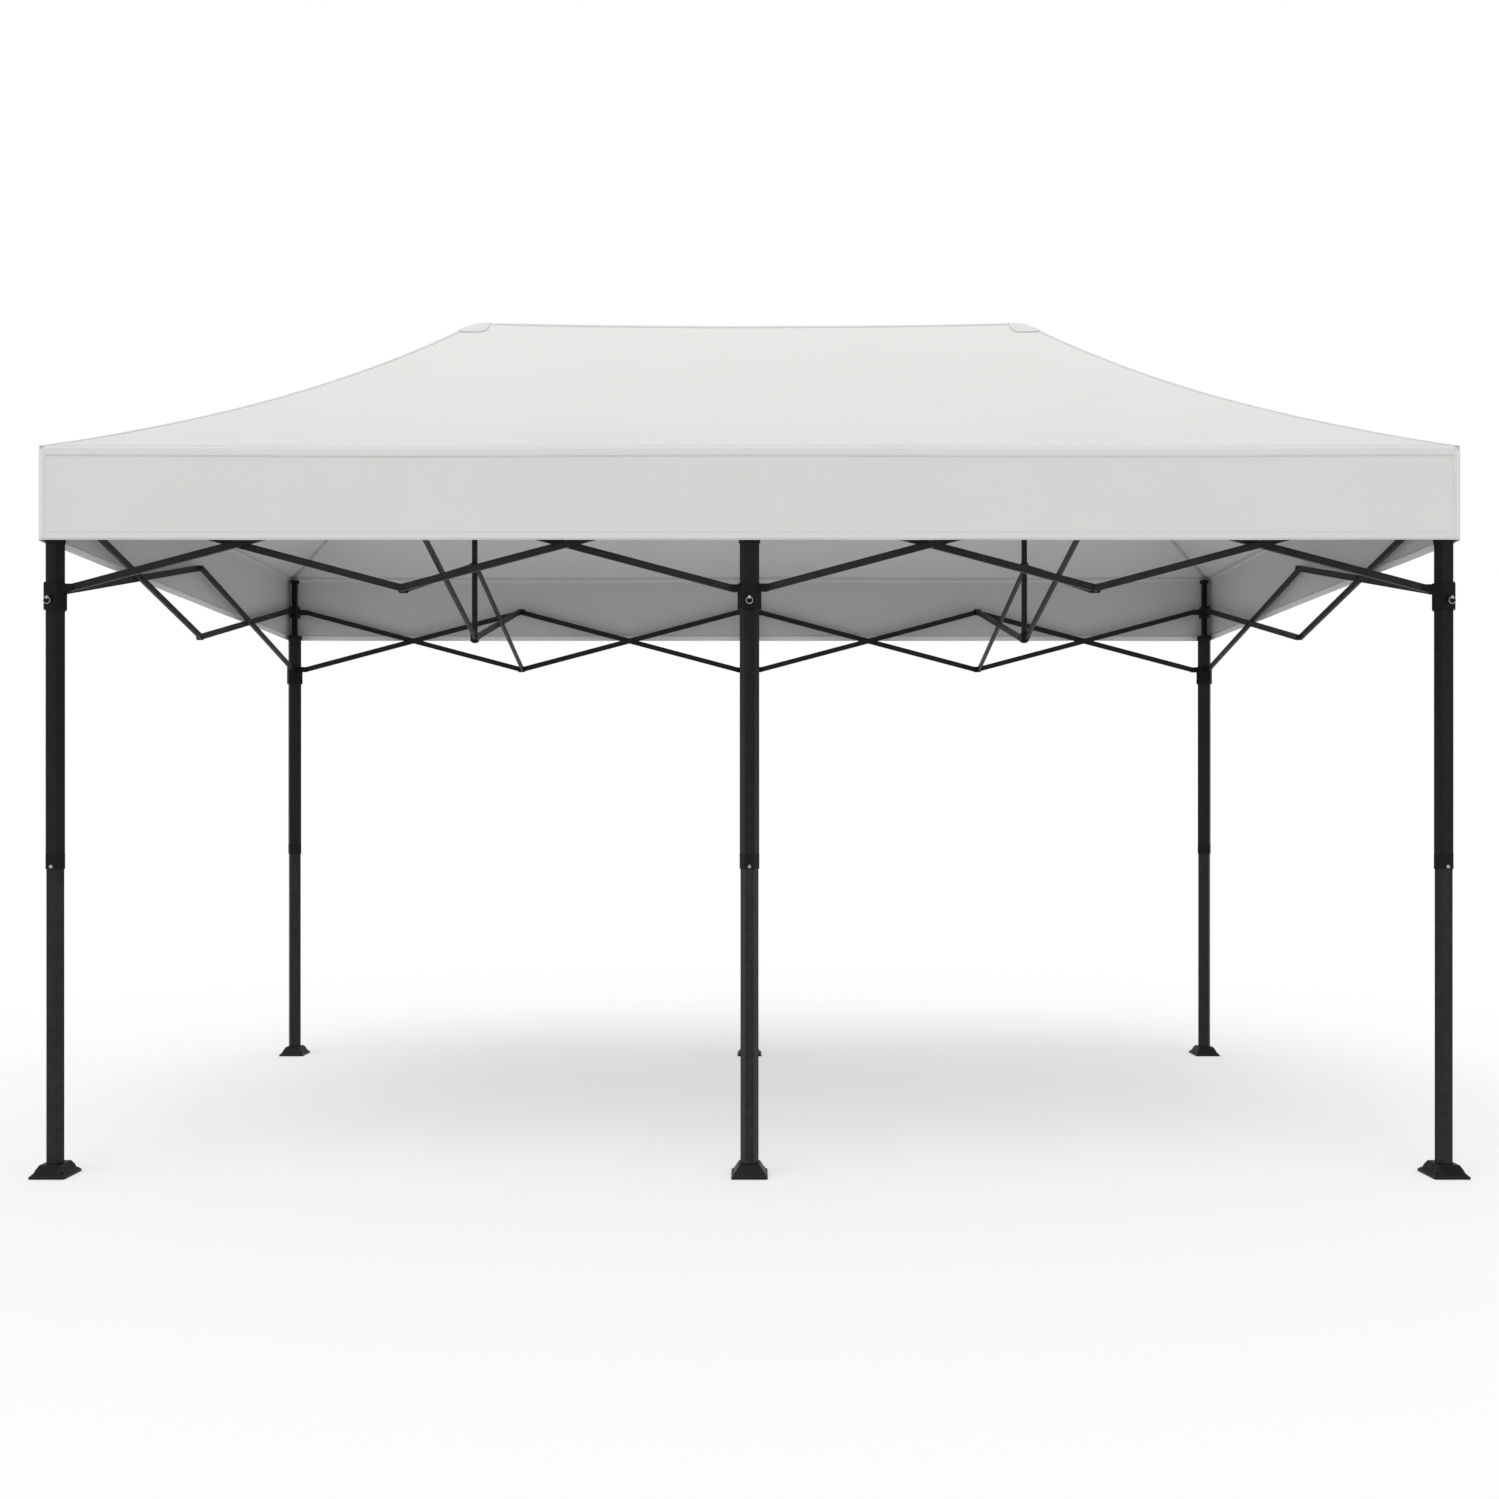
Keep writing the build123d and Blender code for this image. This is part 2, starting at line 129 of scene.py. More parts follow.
def cloth_material(name, dark, light, translucent, thread=0.0009, rough=0.82):
    """Coated woven polyester: a plain weave on the sheet's own metres and soft tone drift.
    A little light comes through, and painted shade greys the cloth slightly from the ridge down to the eave.
    """
    material, tree = new_material(name)
    place = add_node(tree, "ShaderNodeTexCoord")
    wave_scale = 2 * math.pi / (20 * thread)
    warp = add_node(tree, "ShaderNodeTexWave", {"Vector": place.outputs["UV"], "Scale": wave_scale},
                    wave_type="BANDS", bands_direction="X")
    weft = add_node(tree, "ShaderNodeTexWave", {"Vector": place.outputs["UV"], "Scale": wave_scale},
                    wave_type="BANDS", bands_direction="Y")
    weave = add_node(tree, "ShaderNodeMath", {0: warp.outputs["Fac"], 1: weft.outputs["Fac"]},
                     operation="MULTIPLY")
    drift = add_node(tree, "ShaderNodeTexNoise",
                     {"Vector": place.outputs["Object"], "Scale": 1.3, "Detail": 4.0, "Roughness": 0.55})
    slub = add_node(tree, "ShaderNodeTexNoise",
                    {"Vector": place.outputs["UV"], "Scale": 420.0, "Detail": 2.0, "Roughness": 0.6})
    blend = add_node(tree, "ShaderNodeMath", {0: drift.outputs["Fac"], 1: 0.8}, operation="MULTIPLY")
    threads = add_node(tree, "ShaderNodeMath", {0: slub.outputs["Fac"], 1: 0.2}, operation="MULTIPLY")
    factor = add_node(tree, "ShaderNodeMath", {0: blend.outputs[0], 1: threads.outputs[0]},
                      operation="ADD")
    base_tone = tone(tree, factor.outputs[0], dark, light)
    # Painted shade: the colour is darkened by height, most at the eave.
    level = add_node(tree, "ShaderNodeSeparateXYZ", {0: place.outputs["Object"]})
    eave_shade_factor = add_node(tree, "ShaderNodeMapRange",
                       {"Value": level.outputs[2], "From Min": EAVE_Z, "From Max": RIDGE_Z,
                        "To Min": 1 - EAVE_PAINTED_SHADE, "To Max": 1.0})
    eave_shaded = add_node(tree, "ShaderNodeVectorMath", {0: base_tone, 1: eave_shade_factor.outputs[0]},
                      operation="MULTIPLY")
    colour = eave_shaded.outputs[0]
    fine = add_node(tree, "ShaderNodeBump",
                    {"Height": weave.outputs[0], "Strength": 0.12, "Distance": 0.0002})
    soft = add_node(tree, "ShaderNodeTexNoise",
                    {"Vector": place.outputs["Object"], "Scale": 9.0, "Detail": 3.0, "Roughness": 0.5})
    bump = add_node(tree, "ShaderNodeBump",
                    {"Height": soft.outputs["Fac"], "Strength": 0.10, "Distance": 0.01,
                     "Normal": fine.outputs["Normal"]})
    surface = add_node(tree, "ShaderNodeBsdfPrincipled",
                       {"Base Color": colour, "Roughness": rough, "Specular IOR Level": 0.3,
                        "Sheen Weight": 0.12, "Sheen Roughness": 0.5, "Normal": bump.outputs["Normal"]})
    through = add_node(tree, "ShaderNodeBsdfTranslucent", {"Color": colour})
    mix = add_node(tree, "ShaderNodeMixShader",
                   {0: translucent, 1: surface.outputs[0], 2: through.outputs[0]})
    add_node(tree, "ShaderNodeOutputMaterial", {"Surface": mix.outputs[0]})
    return material


STITCH_INSET = 0.004
STITCH_HALF = 0.0011
STITCH_STEP = 0.0045
STITCH_LENGTH = 0.0032


def stitched_material(name, dark, light, width):
    """A sewn tape: woven ground with a row of stitches inside each long edge.
    Its UVs run in metres along and across.
    """
    material, tree = new_material(name)
    place = add_node(tree, "ShaderNodeTexCoord")
    split = add_node(tree, "ShaderNodeSeparateXYZ", {0: place.outputs["UV"]})
    along, across = split.outputs[0], split.outputs[1]
    centre = add_node(tree, "ShaderNodeMath", {0: across, 1: width / 2}, operation="SUBTRACT")
    spread = add_node(tree, "ShaderNodeMath", {0: centre.outputs[0]}, operation="ABSOLUTE")
    row = add_node(tree, "ShaderNodeMath",
                   {0: spread.outputs[0], 1: width / 2 - STITCH_INSET, 2: STITCH_HALF}, operation="COMPARE")
    steps = add_node(tree, "ShaderNodeMath", {0: along, 1: STITCH_STEP}, operation="MODULO")
    dash = add_node(tree, "ShaderNodeMath", {0: steps.outputs[0], 1: STITCH_LENGTH}, operation="LESS_THAN")
    stitch = add_node(tree, "ShaderNodeMath", {0: row.outputs[0], 1: dash.outputs[0]},
                      operation="MULTIPLY")
    grain = add_node(tree, "ShaderNodeTexNoise",
                     {"Vector": place.outputs["UV"], "Scale": 500.0, "Detail": 2.0})
    ground = tone(tree, grain.outputs["Fac"], dark, light)
    colour = add_node(tree, "ShaderNodeMix", data_type="RGBA")
    tree.links.new(stitch.outputs[0], colour.inputs["Factor"])
    tree.links.new(ground, colour.inputs["A"])
    colour.inputs["B"].default_value = (*[c * 0.86 for c in dark], 1)
    height = add_node(tree, "ShaderNodeMath", {0: stitch.outputs[0], 1: 0.7, 2: grain.outputs["Fac"]},
                      operation="MULTIPLY_ADD")
    bump = add_node(tree, "ShaderNodeBump",
                    {"Height": height.outputs[0], "Strength": 0.5, "Distance": 0.0004})
    surface = add_node(tree, "ShaderNodeBsdfPrincipled",
                       {"Base Color": colour.outputs["Result"], "Roughness": 0.8, "Specular IOR Level": 0.3,
                        "Sheen Weight": 0.12, "Normal": bump.outputs["Normal"]})
    add_node(tree, "ShaderNodeOutputMaterial", {"Surface": surface.outputs[0]})
    return material


def coat_material(name, dark, worn, rough, peel, specular, metallic=0.0):
    """Powder coat or moulded plastic: fine orange peel, roughness drift, and edges rubbed lighter."""
    material, tree = new_material(name)
    place = add_node(tree, "ShaderNodeTexCoord")
    peel_noise = add_node(tree, "ShaderNodeTexNoise",
                          {"Vector": place.outputs["Object"], "Scale": peel, "Detail": 3.0,
                           "Roughness": 0.5})
    scuff = add_node(tree, "ShaderNodeTexNoise",
                     {"Vector": place.outputs["Object"], "Scale": 26.0, "Detail": 6.0, "Roughness": 0.7})
    shape = add_node(tree, "ShaderNodeNewGeometry")
    edge = add_node(tree, "ShaderNodeMapRange",
                    {"Value": shape.outputs["Pointiness"], "From Min": 0.53, "From Max": 0.62,
                     "To Min": 0.0, "To Max": 1.0})
    rubbed = add_node(tree, "ShaderNodeMath", {0: edge.outputs[0], 1: scuff.outputs["Fac"]},
                      operation="MULTIPLY")
    colour = tone(tree, rubbed.outputs[0], dark, worn)
    roughness = add_node(tree, "ShaderNodeMapRange",
                         {"Value": scuff.outputs["Fac"], "From Min": 0.3, "From Max": 0.7,
                          "To Min": rough - 0.06, "To Max": rough + 0.08})
    bump = add_node(tree, "ShaderNodeBump",
                    {"Height": peel_noise.outputs["Fac"], "Strength": 0.18, "Distance": 0.0004})
    surface = add_node(tree, "ShaderNodeBsdfPrincipled",
                       {"Base Color": colour, "Roughness": roughness.outputs[0], "Metallic": metallic,
                        "Specular IOR Level": specular, "Normal": bump.outputs["Normal"]})
    add_node(tree, "ShaderNodeOutputMaterial", {"Surface": surface.outputs[0]})
    return material


SEAM_WIDTH = 0.026
PATCH_RADIUS = 0.070
HEM_HEIGHT = 0.030
CLOTH_OUT = cloth_material("white_polyester", dark=(0.790, 0.797, 0.770), light=(0.850, 0.856, 0.832),
                           translucent=0.08)
# The inside and rims: a grey coated lining whose tone is darkened further, as painted shade for the dim
# underside.
CLOTH_IN = cloth_material("coated_lining_painted_shade", dark=(0.51, 0.50, 0.503), light=(0.57, 0.56, 0.563),
                          translucent=0.06, rough=0.6)
SEAM_CLOTH = stitched_material("stitched_seam_tape", dark=(0.69, 0.697, 0.675),
                               light=(0.75, 0.756, 0.735), width=SEAM_WIDTH)
HEM_CLOTH = stitched_material("stitched_hem", dark=(0.66, 0.667, 0.648), light=(0.72, 0.726, 0.708),
                              width=HEM_HEIGHT)
POWDER = coat_material("black_powder_coat", dark=(0.0034, 0.0034, 0.0036), worn=(0.034, 0.034, 0.036),
                       rough=0.42, peel=900.0, specular=0.15)
BAR_COAT = coat_material("black_bar_coat", dark=(0.0025, 0.0025, 0.0027), worn=(0.030, 0.030, 0.031),
                         rough=0.46, peel=1100.0, specular=0.16)
NYLON = coat_material("black_nylon", dark=(0.0022, 0.0022, 0.0023), worn=(0.015, 0.015, 0.016),
                      rough=0.55, peel=1500.0, specular=0.12)
ZINC = coat_material("zinc_steel", dark=(0.42, 0.43, 0.44), worn=(0.62, 0.63, 0.64),
                     rough=0.34, peel=1800.0, specular=0.5, metallic=1.0)


# ---------------------------------------------------------------- mesh helpers
def mesh_object(name, points, faces, uvs, materials, smooth=True):
    """A mesh object from points, faces and one UV per point."""
    mesh = bpy.data.meshes.new(name)
    mesh.from_pydata([tuple(p) for p in points], [], faces)
    layer = mesh.uv_layers.new(name="UVMap")
    for loop in mesh.loops:
        layer.data[loop.index].uv = uvs[loop.vertex_index]
    for material in materials:
        mesh.materials.append(material)
    mesh.polygons.foreach_set("use_smooth", [smooth] * len(mesh.polygons))
    mesh.update()
    obj = bpy.data.objects.new(name, mesh)
    bpy.context.scene.collection.objects.link(obj)
    return obj


def sheet_mesh(name, point_at, columns, rows, materials, thickness=CLOTH):
    """A closed thin sheet over a grid. point_at(u, v) gives a point and its UV.
    The first material is the sheet's outside, and the last is its inside and its rim.
    """
    points, uvs = [], []
    for j in range(rows + 1):
        for i in range(columns + 1):
            point, uv = point_at(i / columns, j / rows)
            points.append(Vector(point))
            uvs.append(uv)
    faces = []
    for j in range(rows):
        for i in range(columns):
            a = j * (columns + 1) + i
            faces.append((a, a + 1, a + columns + 2, a + columns + 1))
    obj = mesh_object(name, points, faces, uvs, materials)
    solid = obj.modifiers.new("thickness", "SOLIDIFY")
    solid.thickness = thickness
    solid.offset = -1
    solid.material_offset = len(materials) - 1
    solid.material_offset_rim = len(materials) - 1
    bake(obj)
    return obj


def bake(obj):
    """Applies an object's modifiers to its mesh."""
    bpy.context.view_layer.update()
    evaluated = obj.evaluated_get(bpy.context.evaluated_depsgraph_get())
    mesh = bpy.data.meshes.new_from_object(evaluated)
    obj.modifiers.clear()
    obj.data = mesh


def turned(name, outline, centre, axis, material, segments=32):
    """A solid of revolution: (radius, height) points spun about an axis, closed at both ends."""
    side = axis.orthogonal().normalized()
    up = axis.cross(side)
    points, uvs, faces = [], [], []
    for radius, height in outline:
        for i in range(segments):
            turn = 2 * math.pi * i / segments
            points.append(centre + axis * height + (side * math.cos(turn) + up * math.sin(turn)) * radius)
            uvs.append((turn * radius, height))
    for k in range(len(outline) - 1):
        for i in range(segments):
            a, b = k * segments + i, k * segments + (i + 1) % segments
            faces.append((a, b, b + segments, a + segments))
    faces.append(tuple(reversed(range(segments))))
    faces.append(tuple(range((len(outline) - 1) * segments, len(outline) * segments)))
    return mesh_object(name, points, faces, uvs, [material])


def rounded_block(name, centre, size, material, radius):
    """A block with rounded edges, along the frame's axes."""
    mesh = bmesh.new()
    bmesh.ops.create_cube(mesh, size=1.0)
    basis = Matrix.Diagonal(size)
    for vertex in mesh.verts:
        vertex.co = Vector(centre) + basis @ vertex.co
    bmesh.ops.recalc_face_normals(mesh, faces=mesh.faces)
    bmesh.ops.bevel(mesh, geom=mesh.edges[:], offset=radius, segments=3, profile=0.5, affect="EDGES")
    data = bpy.data.meshes.new(name)
    mesh.to_mesh(data)
    mesh.free()
    data.materials.append(material)
    data.polygons.foreach_set("use_smooth", [True] * len(data.polygons))
    obj = bpy.data.objects.new(name, data)
    bpy.context.scene.collection.objects.link(obj)
    return obj


def joined(name, parts):
    """Several objects made into one piece."""
    first = parts[0]
    bm = bmesh.new()
    slots = []
    for part in parts:
        start = len(bm.faces)
        bm.from_mesh(part.data)
        bm.faces.ensure_lookup_table()
        for material in part.data.materials:
            if material not in slots:
                slots.append(material)
        for face in bm.faces[start:]:
            face.material_index = slots.index(part.data.materials[face.material_index])
    mesh = bpy.data.meshes.new(name)
    bm.to_mesh(mesh)
    bm.free()
    for material in slots:
        mesh.materials.append(material)
    first.data = mesh
    first.name = name
    for part in parts[1:]:
        bpy.data.objects.remove(part)
    return first


# ---------------------------------------------------------------- the cover's shape
def slope_height(inside):
    """Height of the concave slope at a plan distance inside the eave."""
    run, rise = EAVE_Y, RIDGE_Z - EAVE_Z
    chord = math.hypot(run, rise)
    radius = (chord ** 2 / 4 + SLOPE_SAG ** 2) / (2 * SLOPE_SAG)
    lift = radius - SLOPE_SAG
    centre_s = run / 2 - rise / chord * lift
    centre_z = EAVE_Z + rise / 2 + run / chord * lift
    return centre_z - math.sqrt(radius ** 2 - (inside - centre_s) ** 2)


# Pull lines: their height and number at each anchor, and the distances over which they fade.
LEG_CREASE = (0.0060, 9)
PEAK_CREASE = (0.003, 12)
CREASE_END = 1.4
CREASE_REACH = 0.38
CREASE_START = 0.30
CREASE_FADE = 0.22

# How the cover sags: between the hips, at the eave, along the ridge, and in small uneven patches.
HIP_BOW = 0.012
EAVE_SWAG = 0.005
RIDGE_SAG = 0.016
UNEVEN = 0.0022
UNEVEN_SCALE = 1.7

# The rounded dip that takes the point off each peak.
PEAK_SOFT = 0.008
PEAK_REACH = 0.045
TINY = 1e-6


def creases(x, y):
    """Faint pull lines that fan out from the leg tops and the two peaks."""
    total = 0.0
    anchors = [(lx, ly, *LEG_CREASE) for _, lx, ly in LEGS]
    anchors += [(end, 0.0, *PEAK_CREASE) for end in (-MAST_X, MAST_X)]
    for ax, ay, size, count in anchors:
        away = math.hypot(x - ax, y - ay)
        if TINY < away < CREASE_END:
            turn = math.atan2(y - ay, x - ax)
            reach = math.exp(-away / CREASE_REACH) * min(1.0, away / CREASE_START) ** 2
            total += size * reach * math.sin(count * turn + 2.1 * noise.noise(Vector((ax, ay, turn))))
    from_eave = min(EAVE_X - abs(x), EAVE_Y - abs(y))
    return total * min(1.0, max(0.0, from_eave / CREASE_FADE)) ** 2


def roof_height(x, y):
    """Height of the cover's outside at a plan point.
    It adds up the slope, the bow between the hips, the eave and ridge sag, and the pull lines.
    """
    from_side = EAVE_Y - abs(y)
    from_end = EAVE_X - abs(x)
    if from_side <= from_end:
        inside, share = from_side, abs(x) / max(EAVE_X - from_side, TINY)
        swag = math.sin(math.pi * x / LEG_X) ** 2
    else:
        inside, share = from_end, abs(y) / max(EAVE_Y - from_end, TINY)
        swag = math.sin(math.pi * (abs(y) - LEG_Y) / LEG_X) ** 2
    up = min(1.0, max(0.0, inside / EAVE_Y))
    height = slope_height(max(inside, 0.0))
    height -= HIP_BOW * (1 - min(1.0, share) ** 2) * math.sin(math.pi * up)
    height -= EAVE_SWAG * (1 - up) ** 4 * swag
    if abs(x) < MAST_X:
        height -= RIDGE_SAG * up ** 3 * (1 - (x / MAST_X) ** 2)
    height += UNEVEN * noise.noise(Vector((x * UNEVEN_SCALE, y * UNEVEN_SCALE, 3.1)))
    for peak in (-MAST_X, MAST_X):
        height -= PEAK_SOFT * math.exp(-((x - peak) ** 2 + y ** 2) / PEAK_REACH ** 2)
    return height + creases(x, y)


def side_point(side, along, inside, z):
    """A point near a side's eave: along the eave, at a plan distance inside it."""
    if side == "front":
        return Vector((along, -(EAVE_Y - inside), z))
    if side == "back":
        return Vector((-along, EAVE_Y - inside, z))
    if side == "left":
        return Vector((-(EAVE_X - inside), -along, z))
    return Vector((EAVE_X - inside, along, z))


def half_width(side):
    """Half the eave's length on a side."""
    return EAVE_X if side in LONG_SIDES else EAVE_Y


EAVE_ROLL = 0.012
EDGE_INSET = 1e-4
APEX = 0.004
SLOPE_STRETCH = 1.23       # metres of cloth per metre of plan, for the weave's UVs
LONG_SIDES = ("front", "back")


def roof_panel(side):
    """One roof panel, from the eave's roll to the ridge or the peak."""
    half = half_width(side)
    top = EAVE_Y if side in LONG_SIDES else EAVE_Y - APEX
    columns, rows = (150, 44) if side in LONG_SIDES else (76, 44)

    def point_at(u, v):
        inside = EAVE_ROLL + (top - EAVE_ROLL) * v
        along = (2 * u - 1) * (half - inside)
        plan = side_point(side, along, inside, 0.0)
        point = Vector((plan.x, plan.y, roof_height(plan.x, plan.y)))
        return point, (along, inside * SLOPE_STRETCH)

    return sheet_mesh(f"roof_{side}", point_at, columns, rows, [CLOTH_OUT, CLOTH_IN])


CORNER = 0.016
RIPPLE = 0.0055
FINE_RIPPLE = 0.0022
RIPPLE_SEEDS = {"front": 0.0, "back": 11.0, "left": 23.0, "right": 37.0}
CALM_END = 0.15            # over this length at each corner the ripples fade out
HEM_GAP = 0.002
HEM_WAVE = 0.0015


def valance_path(side, u):
    """Plan point and outward direction along a valance that rounds half of each corner. u runs 0 to 1."""
    half = half_width(side)
    straight = half - CORNER
    turn_length = CORNER * math.pi / 4
    distance = (2 * u - 1) * (straight + turn_length)
    if abs(distance) <= straight:
        along, inside, lean = distance, 0.0, 0.0
    else:
        lean = math.copysign((abs(distance) - straight) / CORNER, distance)
        along = math.copysign(straight, distance) + CORNER * math.sin(lean)
        inside = CORNER * (1 - math.cos(lean))
    outward = side_point(side, math.sin(lean), -math.cos(lean), 0.0) - side_point(side, 0.0, 0.0, 0.0)
    return side_point(side, along, inside, 0.0), outward, distance


def valance_wave(side, distance, down):
    """How far a valance stands out at a distance down it: soft ripples that grow towards the hem."""
    seed = RIPPLE_SEEDS[side]
    ripple = noise.noise(Vector((distance * 2.6 + seed, 0.3, seed)))
    fine = noise.noise(Vector((distance * 7.5 + seed, down * 1.5, seed + 5.0)))
    edge = min(1.0, (half_width(side) - abs(distance)) / CALM_END)
    return (RIPPLE * ripple + FINE_RIPPLE * fine) * down ** 1.3 * max(edge, 0.0)


def hem_level(side, distance):
    """Height of a valance's bottom edge."""
    seed = 2.0 if side in ("front", "left") else 7.0
    return HEM_Z + HEM_GAP + HEM_WAVE * noise.noise(Vector((distance * 1.9, seed, 0.0)))


def valance_point(side, u, down, proud=0.0):
    """A point on a valance, at a share down from its top edge to its hem."""
    plan, outward, distance = valance_path(side, u)
    edge = plan - outward * EDGE_INSET
    top = roof_height(edge.x, edge.y) - EAVE_ROLL
    bottom = hem_level(side, distance)
    stand = valance_wave(side, distance, down) + proud
    point = plan + outward * stand
    point.z = top + (bottom - top) * down
    return point, (distance, (1 - down) * (top - bottom))


BAND_COLUMNS = 190


def valance(side):
    """One valance: a roll over the eave, then the hanging skirt."""
    columns = BAND_COLUMNS if side in LONG_SIDES else 100
    roll_rows, drop_rows = 5, 22

    def point_at(u, v):
        row = round(v * (roll_rows + drop_rows))
        if row >= roll_rows:
            return valance_point(side, u, (row - roll_rows) / drop_rows)
        plan, outward, distance = valance_path(side, u)
        inner = plan - outward * EAVE_ROLL
        edge = plan - outward * EDGE_INSET
        high = roof_height(edge.x, edge.y)
        start = Vector((inner.x, inner.y, roof_height(inner.x, inner.y) + 0.0002))
        end = Vector((plan.x, plan.y, high - EAVE_ROLL))
        bend = Vector((plan.x, plan.y, high))
        t = row / roll_rows
        point = start * (1 - t) ** 2 + bend * 2 * t * (1 - t) + end * t ** 2
        return point, (distance, VALANCE + EAVE_ROLL * (1 - t))

    return sheet_mesh(f"valance_{side}", lambda u, v: point_at(1 - u, v), columns, roll_rows + drop_rows,
                      [CLOTH_OUT, CLOTH_IN])


def valance_band(name, side, top_down, bottom_down, proud, thickness):
    """A sewn band that follows a valance between two heights."""
    span = bottom_down - top_down

    def point_at(u, v):
        down = top_down + span * v
        point, uv = valance_point(side, 1 - u, down, proud)
        return point, (uv[0], (1 - v) * span * VALANCE)

    return sheet_mesh(name, point_at, BAND_COLUMNS, 3, [HEM_CLOTH], thickness)


def corner_seam(side, end):
    """Half of the tape down a valance's corner seam: it runs from the seam onto one valance."""
    turned_part = CORNER * math.pi / 4
    reach = half_width(side) - CORNER + turned_part
    share = (turned_part + SEAM_WIDTH / 2) / (2 * reach)

    def point_at(u, v):
        across = share * (1 - u) if end < 0 else 1 - share * u
        point, _ = valance_point(side, across, v, 0.0013)
        seam = SEAM_WIDTH * (0.5 + (u - 1) / 2 if end < 0 else 0.5 - u / 2)
        return point, (v * VALANCE, seam)

    name = f"corner_seam_{side}_{'low' if end < 0 else 'high'}"
    return sheet_mesh(name, point_at, 6, 22, [SEAM_CLOTH], 0.0018)


TAPE_STEPS = 60
TAPE_LIFT = 0.0016
TAPE_THICKNESS = 0.0013


def roof_tape(name, start, end):
    """A seam tape that lies on the roof from one plan point to another."""
    start, end = Vector((*start, 0)), Vector((*end, 0))
    along = end - start
    across = Vector((-along.y, along.x, 0)).normalized()

    def point_at(u, v):
        plan = start + along * u + across * SEAM_WIDTH * (0.5 - v)
        plan.x = max(-EAVE_X + EDGE_INSET, min(EAVE_X - EDGE_INSET, plan.x))
        plan.y = max(-EAVE_Y + EDGE_INSET, min(EAVE_Y - EDGE_INSET, plan.y))
        point = Vector((plan.x, plan.y, roof_height(plan.x, plan.y) + TAPE_LIFT))
        return point, (along.length * u, SEAM_WIDTH * v)

    return sheet_mesh(name, lambda u, v: point_at(u, 1 - v), TAPE_STEPS, 4, [SEAM_CLOTH], TAPE_THICKNESS)


# ---------------------------------------------------------------- building the cover
SIDES = ("front", "back", "left", "right")
LEG_OF = {"front": "leg_front_middle", "back": "leg_back_middle",
          "left": "leg_front_left", "right": "leg_front_right"}


def gather(obj, side):
    """Gives the piece its own copy of its mesh; long and short sides get the same."""
    if side in LONG_SIDES:
        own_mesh(obj)
    else:
        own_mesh(obj)


def build_cover():
    """Roof panels, and valances with their hems, eave bindings and corner seams."""
    for side in SIDES:
        panel = roof_panel(side)
        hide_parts(f"cover_{side}")
        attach(panel, f"cover_{side}")
        gather(panel, side)
        skirt = valance(side)
        bands = [
            valance_band(f"hem_{side}", side, top_down=1 - HEM_HEIGHT / VALANCE, bottom_down=1.0,
                         proud=0.0011, thickness=0.0034),
            valance_band(f"eave_binding_{side}", side, top_down=0.0, bottom_down=0.07,
                         proud=0.0009, thickness=0.0014),
        ]
        bands += [corner_seam(side, end) for end in (-1, 1)]
        for piece in (skirt, *bands):
            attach(piece, LEG_OF[side])
            gather(piece, side)


def build_seams():
    """Tapes over the ridge and the hips."""
    tapes = [("ridge_seam", "front", (-MAST_X, 0.0), (MAST_X, 0.0))]
    for end, sign in (("left", -1), ("right", 1)):
        corner = (sign * (EAVE_X - EAVE_ROLL / 3), EAVE_Y - EAVE_ROLL / 3)
        tapes.append((f"hip_seam_front_{end}", "front", (sign * MAST_X, 0.0), (corner[0], -corner[1])))
        tapes.append((f"hip_seam_back_{end}", "back", (sign * MAST_X, 0.0), corner))
    for name, side, start, end in tapes:
        tape = roof_tape(name, start, end)
        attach(tape, f"cover_{side}")
        gather(tape, side)


PATCH_HOLE = 0.004         # the pad's open middle, as a share of its radius
PATCH_LIFT = 0.0022
PATCH_CROWN = 0.0012


def build_peak_patches():
    """A rounded square pad of double fabric sewn over each peak, where the mast's cap bears on the cover."""
    for end, sign in (("left", -1), ("right", 1)):

        def point_at(u, v, peak=sign * MAST_X):
            turn = 2 * math.pi * u
            reach = PATCH_RADIUS * (PATCH_HOLE + (1 - PATCH_HOLE) * v)
            reach /= (math.cos(turn) ** 4 + math.sin(turn) ** 4) ** 0.25
            x = peak + reach * math.cos(turn)
            y = reach * math.sin(turn)
            lift = PATCH_LIFT + PATCH_CROWN * (1 - v ** 6)
            point = Vector((x, y, roof_height(x, y) + lift))
            return point, (turn * PATCH_RADIUS, SEAM_WIDTH * (1 - v) * 3)

        patch = sheet_mesh(f"peak_patch_{end}", point_at, 96, 16, [SEAM_CLOTH], TAPE_THICKNESS)
        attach(patch, f"peak_mast_{end}")


# ---------------------------------------------------------------- frame fittings
# Outlines of turned pieces, as (radius, height) points.
LATCH_BOSS = [(0.0105, 0.0), (0.0105, 0.010), (0.0095, 0.012), (0.006, 0.012)]
LATCH_PLUNGER = [(0.0038, 0.011), (0.0038, 0.019), (0.0055, 0.0195), (0.0055, 0.0225), (0.0045, 0.0235)]
HEIGHT_BUTTON = [(0.0066, 0.0), (0.0066, 0.0016), (0.0046, 0.0020), (0.0044, 0.0048), (0.0030, 0.0064),
                 (0.0009, 0.0068)]
BRACKET_RIVET = [(0.0070, -0.0195), (0.0072, -0.0175), (0.0040, -0.0170), (0.0040, 0.0170),
                 (0.0072, 0.0175), (0.0070, 0.0195)]

# The latch's ring: its radius, its wire's radius, and where it hangs on the plunger.
RING_RADIUS, RING_WIRE = 0.0115, 0.0012
RING_OUT, RING_DROP = 0.0215, 0.011
RING_STEPS, WIRE_STEPS = 36, 10

# Distances of the outer faces from a leg's axis.
SLIDER_FACE = 0.0365
LEG_FACE = 0.030
UPRIGHT_FACE = 0.022
BUTTON_PROUD = 0.0003

# Heights above the slider's or the leg's lower end, and either side of the truss pin.
LATCH_RISE = 0.036
SLEEVE_TALL = 0.055
BUTTON_RISE = 0.0085
BOLT_SPREAD = 0.018

# A leg's end sleeve: half its width across flats, outside and inside, and its sloped rim.
SLEEVE_OUTER, SLEEVE_INNER = 0.0304, 0.0301
SLEEVE_RIM = 0.003

